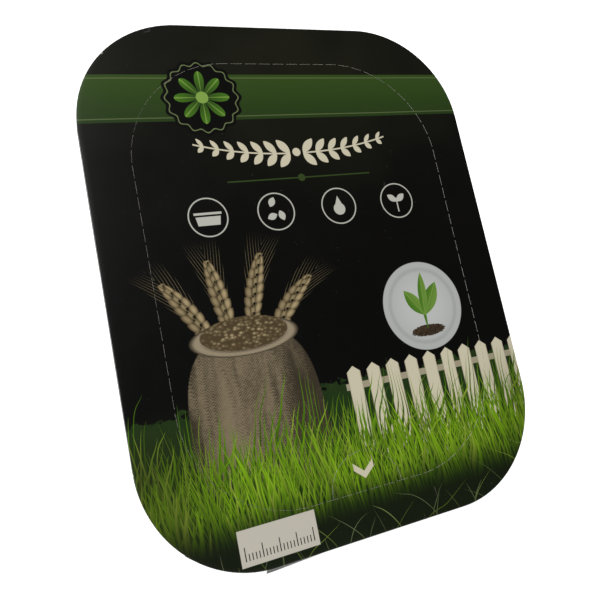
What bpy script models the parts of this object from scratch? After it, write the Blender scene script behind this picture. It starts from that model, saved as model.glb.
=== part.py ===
"""Closed cat grass growing pack: a card lid over a plastic tray, with its contents inside.

Metres, +Z up. The pack lies on its tray with the lid on top: X runs across it, Y along it
(+Y is the lid's top edge) and Z = 0 is the surface it stands on.
"""

import math

import bmesh
import bpy
from mathutils import Matrix, Vector

# Driving dimensions of the pack
LID_LENGTH = 0.227
LID_WIDTH = 0.180
LID_CORNER_RADIUS = 0.0466
PACK_HEIGHT = 0.040
GAP = 0.0003  # clearance between pieces that touch

# Card lid
CARD = 0.0005
FOLD_RADIUS = 0.0009
SKIRT_DEPTH = 0.0060
NOTCH_TOP_WIDTH = 0.0005
NOTCH_FOOT_WIDTH = 0.0016
TOP_CORNER_NOTCHES = (15.0, 45.0, 75.0)  # degrees round each corner, from its long side
FOOT_CORNER_NOTCHES = (1.0, 45.0, 85.0)

# Tear line in the lid
TEAR_INSET = 0.0183
TEAR_CORNER_RADIUS = 0.0465
TEAR_PITCH = 0.0066
SLIT_LENGTH = 0.0052
SLIT_WIDTH = 0.0003
THUMB_RADIUS = 0.0159
THUMB_SLITS = 8

# Thermoformed tray
SKIN = 0.0007
LIP_DEPTH = 0.0040
FLANGE_WIDTH = 0.0105
NECK_DEPTH = 0.0050
LEDGE_WIDTH = 0.0014
WALL_DRAFT = math.radians(8.0)
RIB_DEPTH = 0.0014
LONG_SIDE_RIBS = 7
SHORT_SIDE_RIBS = 5
HEEL_RADIUS = 0.0050
REST_RING_WIDTH = 0.0080
PANEL_RISE = 0.0012
PANEL_SLOPE = 0.0016
CORNER_STEPS = 8

# Contents
SOIL_BAG_SIZE = (0.126, 0.168)
SOIL_BAG_THICKNESS = 0.0210
SACHET_SIZE = (0.056, 0.082)
SACHET_PLACE = (-0.026, 0.018)
SACHET_THICKNESS = 0.0075
NET_SIZE = (0.046, 0.060)
NET_PLACE = (0.032, -0.022)
NET_THICKNESS = 0.0060
SEAL_WIDTH = 0.0090
SEAL_THICKNESS = 0.0006

# Colours: base colour, roughness
MATERIALS = {
    "lid": ((0.020, 0.025, 0.012), 0.45),
    "tray": ((0.015, 0.015, 0.016), 0.35),
    "soil_bag": ((0.060, 0.038, 0.022), 0.20),
    "seed_sachet": ((0.56, 0.50, 0.39), 0.80),
    "cover_net": ((0.44, 0.46, 0.42), 0.60),
}


def clear_scene():
    for existing in list(bpy.data.objects):
        bpy.data.objects.remove(existing, do_unlink=True)


def material(name):
    colour, roughness = MATERIALS[name]
    made = bpy.data.materials.new(name)
    made.use_nodes = True
    shader = made.node_tree.nodes["Principled BSDF"]
    shader.inputs["Base Color"].default_value = (*colour, 1.0)
    shader.inputs["Roughness"].default_value = roughness
    shader.inputs["Metallic"].default_value = 0.0
    return made


def add_object(name, mesh_builder, material_name=None):
    """Link a new object whose mesh is the bmesh given, with outward faces."""
    bmesh.ops.recalc_face_normals(mesh_builder, faces=mesh_builder.faces)
    mesh = bpy.data.meshes.new(name)
    mesh_builder.to_mesh(mesh)
    mesh_builder.free()
    added = bpy.data.objects.new(name, mesh)
    bpy.context.scene.collection.objects.link(added)
    if material_name:
        mesh.materials.append(material(material_name))
        mesh.shade_smooth()
        mesh.set_sharp_from_angle(angle=math.radians(35.0))
    return added


def corner_centres(half_width, half_length, radius):
    """The centres of a rounded rectangle's corners, anticlockwise from +X +Y."""
    x, y = half_width - radius, half_length - radius
    return [(x, y), (-x, y), (-x, -y), (x, -y)]


# The lid's outline as points with outward normals. Every ring of the lid and the tray is this
# outline moved inwards along its normals, so all rings have matching points.


def rib_fractions(ribs):
    """Where a side's points lie, and whether each is in a rib's groove."""
    points = []
    for rib in range(ribs):
        for place, inside in ((0.20, 0), (0.32, 1), (0.68, 1), (0.80, 0)):
            points.append(((rib + place) / ribs, inside))
    return points


def outline():
    """(point, outward normal, rib weight) anticlockwise round the lid's edge."""
    radius = LID_CORNER_RADIUS
    centres = corner_centres(LID_WIDTH / 2, LID_LENGTH / 2, radius)
    rib_counts = (SHORT_SIDE_RIBS, LONG_SIDE_RIBS, SHORT_SIDE_RIBS, LONG_SIDE_RIBS)
    points = []
    for index, centre in enumerate(centres):
        quarter = index * math.pi / 2
        for step in range(CORNER_STEPS + 1):
            angle = quarter + step / CORNER_STEPS * math.pi / 2
            normal = Vector((math.cos(angle), math.sin(angle)))
            points.append((Vector(centre) + normal * radius, normal, 0))
        side_normal = points[-1][1]
        start = points[-1][0]
        end = Vector(centres[(index + 1) % 4]) + side_normal * radius
        for fraction, inside in rib_fractions(rib_counts[index]):
            points.append((start.lerp(end, fraction), side_normal, inside))
    return points


def add_ring(mesh_builder, inset, height, rib_depth=0.0):
    ring = []
    for point, normal, rib in outline():
        place = point - normal * (inset + rib_depth * rib)
        ring.append(mesh_builder.verts.new((place.x, place.y, height)))
    return ring


def join_rings(mesh_builder, first, second):
    count = len(first)
    for index in range(count):
        after = (index + 1) % count
        mesh_builder.faces.new((first[index], first[after], second[after], second[index]))


def arc(centre, radius, start, end, steps):
    """Points of a profile's arc; angles in degrees."""
    points = []
    for step in range(steps + 1):
        angle = math.radians(start + (end - start) * step / steps)
        points.append((centre[0] + radius * math.cos(angle), centre[1] + radius * math.sin(angle)))
    return points


def offset_profile(profile, distance):
    """The profile moved sideways to its right by a distance, mitred at its corners."""
    points = [Vector(point) for point in profile]
    moved = []
    for index, point in enumerate(points):
        before = points[max(index - 1, 0)]
        after = points[min(index + 1, len(points) - 1)]
        into = (point - before).normalized() if index else (after - point).normalized()
        out = (after - point).normalized() if index + 1 < len(points) else into
        normals = [Vector((way.y, -way.x)) for way in (into, out)]
        bisector = (normals[0] + normals[1]).normalized()
        moved.append(point + bisector * (distance / bisector.dot(normals[0])))
    return moved


def skin_body(mesh_builder, upper, lower, rib_depths):
    """A closed skin between two profiles of (inset, height), capped in the middle."""
    rings = [add_ring(mesh_builder, *point, depth) for point, depth in zip(upper, rib_depths)]
    under = [add_ring(mesh_builder, *point, depth) for point, depth in zip(lower, rib_depths)]
    for stack in (rings, under):
        for first, second in zip(stack, stack[1:]):
            join_rings(mesh_builder, first, second)
    join_rings(mesh_builder, rings[0], under[0])
    mesh_builder.faces.new(rings[-1])
    mesh_builder.faces.new(list(reversed(under[-1])))


# The lid


def lid_profile():
    """Outside of the card, from the skirt's foot to the flat top."""
    fold = arc((FOLD_RADIUS, PACK_HEIGHT - FOLD_RADIUS), FOLD_RADIUS, 180.0, 90.0, 3)
    return [(0.0, PACK_HEIGHT - SKIRT_DEPTH)] + fold


def slit_box(mesh_builder, centre, direction, length, width):
    """A block through the lid's flat top, along a direction in the plane."""
    angle = math.atan2(direction.y, direction.x)
    size = Matrix.Diagonal((length, width, CARD * 6, 1.0))
    place = Matrix.Translation((centre.x, centre.y, PACK_HEIGHT))
    matrix = place @ Matrix.Rotation(angle, 4, "Z") @ size
    bmesh.ops.create_cube(mesh_builder, size=1.0, matrix=matrix)


def point_round_rectangle(distance, half_width, half_length, radius):
    """The point and direction at a distance round a rounded rectangle, from its foot's middle."""
    straights = (half_width - radius, 2 * (half_length - radius), 2 * (half_width - radius),
                 2 * (half_length - radius), half_width - radius)
    place = Vector((0.0, -half_length))
    heading = 0.0
    for index, straight in enumerate(straights):
        way = Vector((math.cos(heading), math.sin(heading)))
        if distance <= straight or index == len(straights) - 1:
            return place + way * distance, way
        distance -= straight
        place += way * straight
        centre = place + Vector((-way.y, way.x)) * radius
        turn = distance / radius
        if turn < math.pi / 2:
            spoke = Matrix.Rotation(turn, 2) @ (place - centre)
            return centre + spoke, Matrix.Rotation(turn, 2) @ way
        distance -= radius * math.pi / 2
        place = centre + Matrix.Rotation(math.pi / 2, 2) @ (place - centre)
        heading += math.pi / 2
    return place, way


def add_tear_line(mesh_builder):
    half_width = LID_WIDTH / 2 - TEAR_INSET
    half_length = LID_LENGTH / 2 - TEAR_INSET
    radius = TEAR_CORNER_RADIUS
    around = 4 * (half_width + half_length) - (8 - 2 * math.pi) * radius
    count = round(around / TEAR_PITCH)
    for index in range(count):
        distance = (index + 0.5) * around / count
        point, way = point_round_rectangle(distance, half_width, half_length, radius)
        slit_box(mesh_builder, point, way, SLIT_LENGTH, SLIT_WIDTH)


def add_thumb_tab(mesh_builder):
    """A half round of slits that stands on the tear line's foot."""
    centre = Vector((0.0, -LID_LENGTH / 2 + TEAR_INSET))
    for index in range(THUMB_SLITS):
        angle = (index + 0.5) / THUMB_SLITS * math.pi
        spoke = Vector((math.cos(angle), math.sin(angle)))
        way = Vector((-spoke.y, spoke.x))
        slit_box(mesh_builder, centre + spoke * THUMB_RADIUS, way, SLIT_LENGTH, SLIT_WIDTH)


def add_notch(mesh_builder, place, normal):
    """A wedge that splits the skirt, narrow at the fold and wider at its foot."""
    top = PACK_HEIGHT - FOLD_RADIUS - CARD
    foot = PACK_HEIGHT - SKIRT_DEPTH - CARD
    along = Vector((-normal.y, normal.x))
    corners = []
    for reach in (-4 * CARD, 4 * CARD):
        for height, width in ((foot, NOTCH_FOOT_WIDTH), (top, NOTCH_TOP_WIDTH)):
            for side in (-0.5, 0.5):
                point = place + normal * reach + along * (side * width)
                corners.append(mesh_builder.verts.new((point.x, point.y, height)))
    bmesh.ops.convex_hull(mesh_builder, input=corners)


def add_notches(mesh_builder):
    radius = LID_CORNER_RADIUS
    centres = corner_centres(LID_WIDTH / 2, LID_LENGTH / 2, radius)
    for index, centre in enumerate(centres):
        at_top = centre[1] > 0
        angles = TOP_CORNER_NOTCHES if at_top else FOOT_CORNER_NOTCHES
        for degrees in angles:
            rising = math.radians(degrees if at_top else -degrees)
            normal = Vector((math.cos(rising) * math.copysign(1, centre[0]), math.sin(rising)))
            add_notch(mesh_builder, Vector(centre) + normal * radius, normal)


def add_cut(target, name, build):
    """Take a guide object's shape out of a target with a Boolean."""
    mesh_builder = bmesh.new()
    build(mesh_builder)
    cutter = add_object(name, mesh_builder)
    cutter.hide_render = True
    cutter.display_type = "WIRE"
    cut = target.modifiers.new(name, "BOOLEAN")
    cut.operation = "DIFFERENCE"
    cut.solver = "EXACT"
    cut.object = cutter


def make_lid():
    """One card: the flat top, the folded skirt, its notches and the tear line."""
    mesh_builder = bmesh.new()
    outside = lid_profile()
    inside = offset_profile(outside, CARD)
    skin_body(mesh_builder, outside, inside, [0.0] * len(outside))
    lid = add_object("lid", mesh_builder, "lid")
    add_cut(lid, "tear_line_cutter", add_tear_line)
    add_cut(lid, "thumb_tab_cutter", add_thumb_tab)
    add_cut(lid, "notch_cutter", add_notches)


# The tray


def tray_profile():
    """Upper face of the skin from the lip's foot to the base panel, and rib depth at each point."""
    edge = CARD + GAP
    top = PACK_HEIGHT - CARD - GAP
    lip_round = arc((edge + SKIN, top - SKIN), SKIN, 180.0, 90.0, 2)
    neck_top = edge + FLANGE_WIDTH
    neck_round = arc((neck_top - SKIN, top - SKIN), SKIN, 90.0, 0.0, 2)
    ledge_height = top - NECK_DEPTH
    heel_height = SKIN + HEEL_RADIUS
    wall_top = neck_top + LEDGE_WIDTH
    wall_run = math.tan(WALL_DRAFT) * (ledge_height - heel_height)
    wall_foot = wall_top + wall_run
    rib_ends = [(wall_top + wall_run * down, ledge_height - (ledge_height - heel_height) * down)
                for down in (0.0, 0.06, 0.14, 0.90, 1.0)]
    heel_reach = wall_foot + HEEL_RADIUS * math.cos(WALL_DRAFT)
    heel = arc((heel_reach, heel_height), HEEL_RADIUS, 180.0 + math.degrees(WALL_DRAFT), 270.0, 4)
    ring_end = heel_reach + REST_RING_WIDTH
    panel = [(ring_end, SKIN), (ring_end + PANEL_SLOPE, SKIN + PANEL_RISE)]
    profile = [(edge, top - LIP_DEPTH)] + lip_round + neck_round
    profile += [(neck_top, ledge_height + LEDGE_WIDTH)] + rib_ends + heel[1:] + panel
    depths = [0.0] * len(profile)
    first_rib = profile.index(rib_ends[2])
    depths[first_rib] = RIB_DEPTH
    depths[first_rib + 1] = RIB_DEPTH
    return profile, depths


def make_tray():
    """Flange with a turned-down lip, ledge, ribbed walls, rest ring and raised base panel."""
    mesh_builder = bmesh.new()
    upper, depths = tray_profile()
    lower = offset_profile(upper, SKIN)
    skin_body(mesh_builder, upper, lower, depths)
    add_object("tray", mesh_builder, "tray")


# The contents


def pillow(across, along, fullness=0.5):
    """Thickness share of a filled pouch at -1..1 across and along, flat at its two end seals."""
    seal = max(0.0, 1.0 - abs(along) ** 6)
    edge = max(0.0, 1.0 - abs(across) ** 4)
    return (seal * edge) ** fullness


def soil_bag_floor():
    return SKIN + PANEL_RISE + GAP


def soil_bag_top(x, y):
    """Height of the soil bag's upper face at a place on the pack."""
    across = max(-1.0, min(1.0, x / (SOIL_BAG_SIZE[0] / 2)))
    along = max(-1.0, min(1.0, y / (SOIL_BAG_SIZE[1] / 2 - SEAL_WIDTH)))
    return soil_bag_floor() + SEAL_THICKNESS + SOIL_BAG_THICKNESS * pillow(across, along)


def seed_sachet_floor(x, y):
    return soil_bag_top(x, y) + GAP


def draped_slab(name, size, place, steps, floor, thickness):
    """A closed slab: a grid of points at the floor height and one a thickness above it."""
    mesh_builder = bmesh.new()
    layers = []
    for raised in (False, True):
        rows = []
        for row in range(steps[1] + 1):
            along = 2 * row / steps[1] - 1
            line = []
            for column in range(steps[0] + 1):
                across = 2 * column / steps[0] - 1
                x = place[0] + across * size[0] / 2
                y = place[1] + along * size[1] / 2
                height = floor(x, y) + (thickness(across, along) if raised else 0.0)
                line.append(mesh_builder.verts.new((x, y, height)))
            rows.append(line)
        layers.append(rows)
    for rows in layers:
        for first, second in zip(rows, rows[1:]):
            for left in range(steps[0]):
                mesh_builder.faces.new((first[left], first[left + 1],
                                        second[left + 1], second[left]))
    borders = []
    for rows in layers:
        right = [row[-1] for row in rows[1:-1]]
        left = [row[0] for row in reversed(rows[1:-1])]
        borders.append(rows[0] + right + list(reversed(rows[-1])) + left)
    join_rings(mesh_builder, *borders)
    return add_object(name, mesh_builder, name)


def make_soil_bag():
    """Filled pouch that lies on the tray's base panel."""
    inner_length = SOIL_BAG_SIZE[1] / 2 - SEAL_WIDTH

    def thickness(across, along):
        y = along * SOIL_BAG_SIZE[1] / 2
        filled = max(-1.0, min(1.0, y / inner_length))
        return SEAL_THICKNESS + SOIL_BAG_THICKNESS * pillow(across, filled)

    draped_slab("soil_bag", SOIL_BAG_SIZE, (0.0, 0.0), (14, 20),
                lambda x, y: soil_bag_floor(), thickness)


def make_seed_sachet():
    """Small filled sachet that lies on the soil bag."""

    def thickness(across, along):
        return SEAL_THICKNESS + SACHET_THICKNESS * pillow(across, along)

    draped_slab("seed_sachet", SACHET_SIZE, SACHET_PLACE, (8, 10), seed_sachet_floor, thickness)


def make_cover_net():
    """Folded net beside the sachet, soft at its edges."""

    def thickness(across, along):
        return NET_THICKNESS * (0.35 + 0.65 * pillow(across, along, 0.35))

    draped_slab("cover_net", NET_SIZE, NET_PLACE, (8, 8), seed_sachet_floor, thickness)


clear_scene()
make_tray()
make_soil_bag()
make_seed_sachet()
make_cover_net()
make_lid()
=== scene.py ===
"""Looks of a closed cat grass growing pack: printed card lid, plastic tray and its contents."""

import math
import random

import bmesh
import bpy
from mathutils import Matrix, Vector, noise
from mathutils.geometry import delaunay_2d_cdt


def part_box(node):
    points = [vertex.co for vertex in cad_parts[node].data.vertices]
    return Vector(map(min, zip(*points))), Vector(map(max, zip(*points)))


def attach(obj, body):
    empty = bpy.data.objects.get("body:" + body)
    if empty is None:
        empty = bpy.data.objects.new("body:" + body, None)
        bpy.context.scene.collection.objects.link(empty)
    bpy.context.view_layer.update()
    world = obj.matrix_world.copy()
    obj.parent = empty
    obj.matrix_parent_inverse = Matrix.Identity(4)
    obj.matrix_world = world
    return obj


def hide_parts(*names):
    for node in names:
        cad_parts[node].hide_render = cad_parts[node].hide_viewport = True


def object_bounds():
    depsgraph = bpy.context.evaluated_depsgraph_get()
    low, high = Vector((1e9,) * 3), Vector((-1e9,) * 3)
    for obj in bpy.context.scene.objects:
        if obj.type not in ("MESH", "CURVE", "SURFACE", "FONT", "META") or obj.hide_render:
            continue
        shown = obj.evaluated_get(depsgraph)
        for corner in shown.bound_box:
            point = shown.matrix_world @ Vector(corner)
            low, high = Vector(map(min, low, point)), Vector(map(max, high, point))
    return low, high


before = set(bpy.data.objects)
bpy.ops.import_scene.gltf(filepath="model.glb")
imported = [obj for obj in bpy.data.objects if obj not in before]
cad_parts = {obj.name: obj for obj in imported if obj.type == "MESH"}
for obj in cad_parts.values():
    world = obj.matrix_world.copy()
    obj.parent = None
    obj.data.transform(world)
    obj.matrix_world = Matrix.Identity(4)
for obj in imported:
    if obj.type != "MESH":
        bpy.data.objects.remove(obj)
cad_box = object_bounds()

MM = 0.001

# The lid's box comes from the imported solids. The tear line, the thumb tab and the notches lie as
# in them, but the fold is tighter here and the slits are narrower.
LID_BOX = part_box("lid")
LID_TOP = LID_BOX[1][2]
LID_WIDTH = LID_BOX[1][0] - LID_BOX[0][0]
LID_LENGTH = LID_BOX[1][1] - LID_BOX[0][1]
LID_CORNER_RADIUS = 46.6 * MM
CORNER_X = LID_WIDTH / 2 - LID_CORNER_RADIUS
CORNER_Y = LID_LENGTH / 2 - LID_CORNER_RADIUS
CARD = 0.5 * MM
GAP = 0.3 * MM
FOLD_RADIUS = 0.55 * MM
SKIRT_DEPTH = LID_TOP - LID_BOX[0][2]
RIM_WIDTH = 14 * MM  # from the edge to the panel's free mesh
TEAR_INSET = 18.3 * MM
TEAR_HALF_WIDTH = LID_WIDTH / 2 - TEAR_INSET
TEAR_HALF_LENGTH = LID_LENGTH / 2 - TEAR_INSET
TEAR_CORNER_RADIUS = 46.5 * MM
TEAR_PITCH = 6.6 * MM
SLIT_LENGTH = 5.3 * MM
SLIT_WIDTH = 0.15 * MM
SLIT_FOOT_WIDTH = 0.05 * MM
THUMB_RADIUS = 15.9 * MM
THUMB_SLITS = 8
TOP_CORNER_NOTCHES = (15.0, 45.0, 75.0)  # degrees round each corner, from its long side
FOOT_CORNER_NOTCHES = (1.0, 45.0, 85.0)


# Meshes


def link_object(name, data):
    made = bpy.data.objects.new(name, data)
    bpy.context.scene.collection.objects.link(made)
    return made


def new_object(name, builder, materials):
    """A linked mesh object made from a bmesh, with these materials."""
    mesh = bpy.data.meshes.new(name)
    builder.to_mesh(mesh)
    builder.free()
    for made in materials:
        mesh.materials.append(made)
    return link_object(name, mesh)


def add_piece(name, builder, materials, sharp_angle=35.0):
    """A smooth piece made from a bmesh, which rides on the pack."""
    bmesh.ops.recalc_face_normals(builder, faces=builder.faces)
    piece = new_object(name, builder, materials)
    piece.data.shade_smooth()
    piece.data.set_sharp_from_angle(angle=math.radians(sharp_angle))
    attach(piece, "root")
    return piece


def clamp(value, low=0.0, high=1.0):
    return max(low, min(high, value))


def smooth_step(low, high, value):
    share = clamp((value - low) / (high - low))
    return share * share * (3 - 2 * share)


# The centres of the lid's corners, anticlockwise from +X +Y
CORNER_SIGNS = ((1, 1), (-1, 1), (-1, -1), (1, -1))
CORNER_CENTRES = [Vector((CORNER_X * x, CORNER_Y * y)) for x, y in CORNER_SIGNS]


def outline(corner_steps, side_fractions):
    """(point, outward normal, weight) round the lid's edge. side_fractions(length) gives the
    places along a side and each one's weight."""
    points = []
    for index, centre in enumerate(CORNER_CENTRES):
        for step in range(corner_steps + 1):
            angle = (index + step / corner_steps) * math.pi / 2
            normal = Vector((math.cos(angle), math.sin(angle)))
            points.append((centre + normal * LID_CORNER_RADIUS, normal, 0.0))
        start, normal = points[-1][:2]
        end = CORNER_CENTRES[(index + 1) % 4] + normal * LID_CORNER_RADIUS
        for fraction, weight in side_fractions((end - start).length):
            points.append((start.lerp(end, fraction), normal, weight))
    return points


def add_ring(builder, around, inset, height, depth=0.0):
    ring = []
    for point, normal, weight in around:
        place = point - normal * (inset + depth * weight)
        ring.append(builder.verts.new((place.x, place.y, height)))
    return ring


def join_rings(builder, first, second, slot=0):
    count = len(first)
    for index in range(count):
        after = (index + 1) % count
        face = builder.faces.new((first[index], first[after], second[after], second[index]))
        face.material_index = slot


def join_stack(builder, rings, slot=0):
    for first, second in zip(rings, rings[1:]):
        join_rings(builder, first, second, slot)


def join_rows(builder, rows):
    """Fill the cells between the rows of a grid."""
    for first, second in zip(rows, rows[1:]):
        for left in range(len(first) - 1):
            builder.faces.new((first[left], first[left + 1], second[left + 1], second[left]))


def arc(centre, radius, start, end, steps):
    """Points of a profile's arc; angles in degrees."""
    points = []
    for step in range(steps + 1):
        angle = math.radians(start + (end - start) * step / steps)
        points.append((centre[0] + radius * math.cos(angle), centre[1] + radius * math.sin(angle)))
    return points


def offset_profile(profile, distance):
    """The profile moved sideways to its right by a distance, mitred at its corners."""
    points = [Vector(point) for point in profile]
    moved = []
    for index, point in enumerate(points):
        before = points[max(index - 1, 0)]
        after = points[min(index + 1, len(points) - 1)]
        into = (point - before).normalized() if index else (after - point).normalized()
        out = (after - point).normalized() if index + 1 < len(points) else into
        normals = [Vector((way.y, -way.x)) for way in (into, out)]
        bisector = (normals[0] + normals[1]).normalized()
        moved.append(point + bisector * (distance / bisector.dot(normals[0])))
    return moved


# The lid's shape

CARD_PRINT, CARD_RAW, CARD_FOOT_PRINT = 0, 1, 2
FOOT_PRINT_TOP = -33 * MM
GRID_STEP = 3.2 * MM
LID_CORNER_STEPS = 24
SAG = 0.45 * MM
WAVES = 0.16 * MM
FOOT_FLAP_SPRING = 2.7 * MM
CORNER_FLAP_SPRING = 0.7 * MM
FLAP_WAVER = 0.15 * MM
EDGE_ROLL = 0.08 * MM
NOTCH_REACH = 2 * MM
NOTCH_FOOT_WIDTH = 1.6 * MM
NOTCH_TOP_WIDTH = 0.45 * MM


def lid_side(length):
    steps = round(length / GRID_STEP)
    return [(step / steps, 0.0) for step in range(1, steps)]


def edge_inset(x, y):
    """How far a place on the lid lies inside the lid's outline."""
    across = abs(x) - CORNER_X
    along = abs(y) - CORNER_Y
    outside = math.hypot(max(across, 0.0), max(along, 0.0)) + min(max(across, along), 0.0)
    return LID_CORNER_RADIUS - outside


def card_lift(x, y):
    """How far the card stands above its flat place: a slack panel and a rolled-off rim."""
    inset = edge_inset(x, y)
    sag = -SAG * smooth_step(12 * MM, 72 * MM, inset)
    waves = WAVES * noise.noise(Vector((x, y, 0.0)) / (45 * MM)) * min(1.0, inset / (8 * MM))
    roll = -EDGE_ROLL * max(0.0, 1 - inset / (9 * MM)) ** 2
    return sag + waves + roll


def around_tear_line(distance):
    """The place and direction at a distance round the tear line, from its foot's middle."""
    radius = TEAR_CORNER_RADIUS
    half_foot, half_side = TEAR_HALF_WIDTH - radius, TEAR_HALF_LENGTH - radius
    place = Vector((0.0, -TEAR_HALF_LENGTH))
    way = Vector((1.0, 0.0))
    for straight in (half_foot, 2 * half_side, 2 * half_foot, 2 * half_side, half_foot):
        if distance <= straight:
            break
        distance -= straight
        place = place + way * straight
        spoke = Vector((way.y, -way.x)) * radius
        centre = place - spoke
        turn = min(distance / radius, math.pi / 2)
        place = centre + Matrix.Rotation(turn, 2) @ spoke
        way = Matrix.Rotation(turn, 2) @ way
        if turn < math.pi / 2:
            return place, way
        distance -= radius * turn
    return place + way * distance, way


def slit_corners(centre, way, width):
    side = Vector((-way.y, way.x)) * width / 2
    half = way * SLIT_LENGTH / 2
    return [centre - half - side, centre + half - side, centre + half + side, centre - half + side]


def tear_slits():
    """(centre, direction) of every slit of the tear line and the thumb tab."""
    around = 4 * (TEAR_HALF_WIDTH + TEAR_HALF_LENGTH) - (8 - 2 * math.pi) * TEAR_CORNER_RADIUS
    count = round(around / TEAR_PITCH)
    slits = []
    for index in range(count):
        slits.append(around_tear_line((index + 0.5) * around / count))
    foot = Vector((0.0, -TEAR_HALF_LENGTH))
    for index in range(THUMB_SLITS):
        angle = (index + 0.5) / THUMB_SLITS * math.pi
        spoke = Vector((math.cos(angle), math.sin(angle)))
        way = Vector((-spoke.y, spoke.x))
        slits.append((foot + spoke * THUMB_RADIUS, way))
    return slits


def panel_triangles(border):
    """Points and triangles of the lid's panel inside a border, with the slits left open."""
    points = list(border)
    faces = [list(range(len(border)))]
    under = {}
    for centre, way in tear_slits():
        faces.append(list(range(len(points), len(points) + 4)))
        under.update(enumerate(slit_corners(centre, way, SLIT_FOOT_WIDTH), len(points)))
        points += slit_corners(centre, way, SLIT_WIDTH)
    columns = int(LID_WIDTH / GRID_STEP)
    rows = int(LID_LENGTH / GRID_STEP)
    for column in range(columns):
        for row in range(rows):
            x = (column + 0.5) * GRID_STEP - LID_WIDTH / 2
            y = (row + 0.5) * GRID_STEP - LID_LENGTH / 2
            if edge_inset(x, y) > RIM_WIDTH + GRID_STEP / 2:
                points.append(Vector((x, y)))
    places, _, triangles, sources, _, inside = delaunay_2d_cdt(points, [], faces, 1, 1e-7, True)
    kept = [corners for corners, within in zip(triangles, inside) if within == [0]]
    places_under = [under.get(source[0], place) if source else place
                    for place, source in zip(places, sources)]
    return places, places_under, kept


def add_panel(builder, ring_top, ring_under, around):
    """Fill the lid's rings with a panel of two faces, and line its slits."""
    border = [point - normal * RIM_WIDTH for point, normal, _ in around]
    places, places_under, triangles = panel_triangles(border)
    top = [builder.verts.new((place.x, place.y, LID_TOP)) for place in places]
    under = [builder.verts.new((place.x, place.y, LID_TOP - CARD)) for place in places_under]
    sides = {}
    for corners in triangles:
        face = builder.faces.new([top[corner] for corner in corners])
        face.material_index = CARD_PRINT
        face = builder.faces.new([under[corner] for corner in reversed(corners)])
        face.material_index = CARD_RAW
        for first, second in zip(corners, corners[1:] + corners[:1]):
            sides[(first, second)] = sides.get((first, second), 0) + 1
    border_count = len(border)
    for first, second in sides:
        if (second, first) in sides:
            continue
        if first < border_count and second < border_count:
            continue
        wall = builder.faces.new((top[first], top[second], under[second], under[first]))
        wall.material_index = CARD_RAW
    weld = {}
    for index in range(border_count):
        weld[top[index]] = ring_top[index]
        weld[under[index]] = ring_under[index]
    bmesh.ops.weld_verts(builder, targetmap=weld)


def lid_profile():
    """Outside of the card, from the skirt's foot over the fold to the panel's border."""
    foot = LID_TOP - SKIRT_DEPTH
    fold_height = LID_TOP - FOLD_RADIUS
    skirt = [(0.0, foot + (fold_height - foot) * step / 4) for step in range(4)]
    fold = arc((FOLD_RADIUS, fold_height), FOLD_RADIUS, 180.0, 90.0, 5)
    rim = [(inset * MM, LID_TOP) for inset in (2.0, 3.5, 5.5, 8.0, 11.0)]
    return skirt + fold + rim + [(RIM_WIDTH, LID_TOP)]


def notch_places():
    """(place on the lid's edge, outward normal) of every notch."""
    places = []
    for centre in CORNER_CENTRES:
        at_top = centre.y > 0
        for degrees in TOP_CORNER_NOTCHES if at_top else FOOT_CORNER_NOTCHES:
            rising = math.radians(degrees if at_top else -degrees)
            normal = Vector((math.cos(rising) * math.copysign(1, centre.x), math.sin(rising)))
            places.append((centre + normal * LID_CORNER_RADIUS, normal))
    return places


def notch_cutter(materials):
    """Wedges that split the skirt, narrow at the fold and wider at its foot."""
    builder = bmesh.new()
    levels = ((LID_TOP - SKIRT_DEPTH - CARD, NOTCH_FOOT_WIDTH),
              (LID_TOP - FOLD_RADIUS - CARD, NOTCH_TOP_WIDTH))
    for place, normal in notch_places():
        along = Vector((-normal.y, normal.x))
        corners = []
        for reach in (-NOTCH_REACH, NOTCH_REACH):
            for height, width in levels:
                for side in (-0.5, 0.5):
                    point = place + normal * reach + along * (side * width)
                    corners.append(builder.verts.new((point.x, point.y, height)))
        bmesh.ops.convex_hull(builder, input=corners)
    for face in builder.faces:
        face.material_index = CARD_RAW
    bmesh.ops.recalc_face_normals(builder, faces=builder.faces)
    return new_object("notch_cutter", builder, materials)


def cut_notches(lid, materials):
    cutter = notch_cutter(materials)
    cut = lid.modifiers.new("notches", "BOOLEAN")
    cut.operation = "DIFFERENCE"
    cut.solver = "EXACT"
    cut.object = cutter
    evaluated = lid.evaluated_get(bpy.context.evaluated_depsgraph_get())
    mesh = bpy.data.meshes.new_from_object(evaluated)
    lid.modifiers.clear()
    lid.data = mesh
    bpy.data.objects.remove(cutter, do_unlink=True)


def flap_spring(x, y):
    """How far a skirt flap's foot stands out from its upright place."""
    round_corner = math.degrees(math.atan2(-y - CORNER_Y, abs(x) - CORNER_X))
    middle_notch, last_notch = FOOT_CORNER_NOTCHES[1:]
    if y < -CORNER_Y and round_corner > last_notch:
        reach = CORNER_X + LID_CORNER_RADIUS * math.cos(math.radians(last_notch))
        return FOOT_FLAP_SPRING * max(0.0, 0.5 - x / (2 * reach)) ** 1.6
    if x < -CORNER_X and y < -CORNER_Y and round_corner > middle_notch:
        return CORNER_FLAP_SPRING * (last_notch - round_corner) / (last_notch - middle_notch)
    angle = math.atan2(y, x)
    return FLAP_WAVER * noise.noise(Vector((math.cos(angle), math.sin(angle), 0.0)) * 2.7)


def shape_card(mesh):
    """Settle the cut card: its panel sags, its rim rolls off and its flaps spring out a little."""
    fold_height = LID_TOP - FOLD_RADIUS
    for vertex in mesh.vertices:
        x, y, z = vertex.co
        if z < fold_height:
            down = (fold_height - z) / (SKIRT_DEPTH - FOLD_RADIUS)
            out = skirt_normal(x, y) * (flap_spring(x, y) * down ** 1.5)
            vertex.co.x += out.x
            vertex.co.y += out.y
        vertex.co.z += card_lift(x, y)


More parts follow.
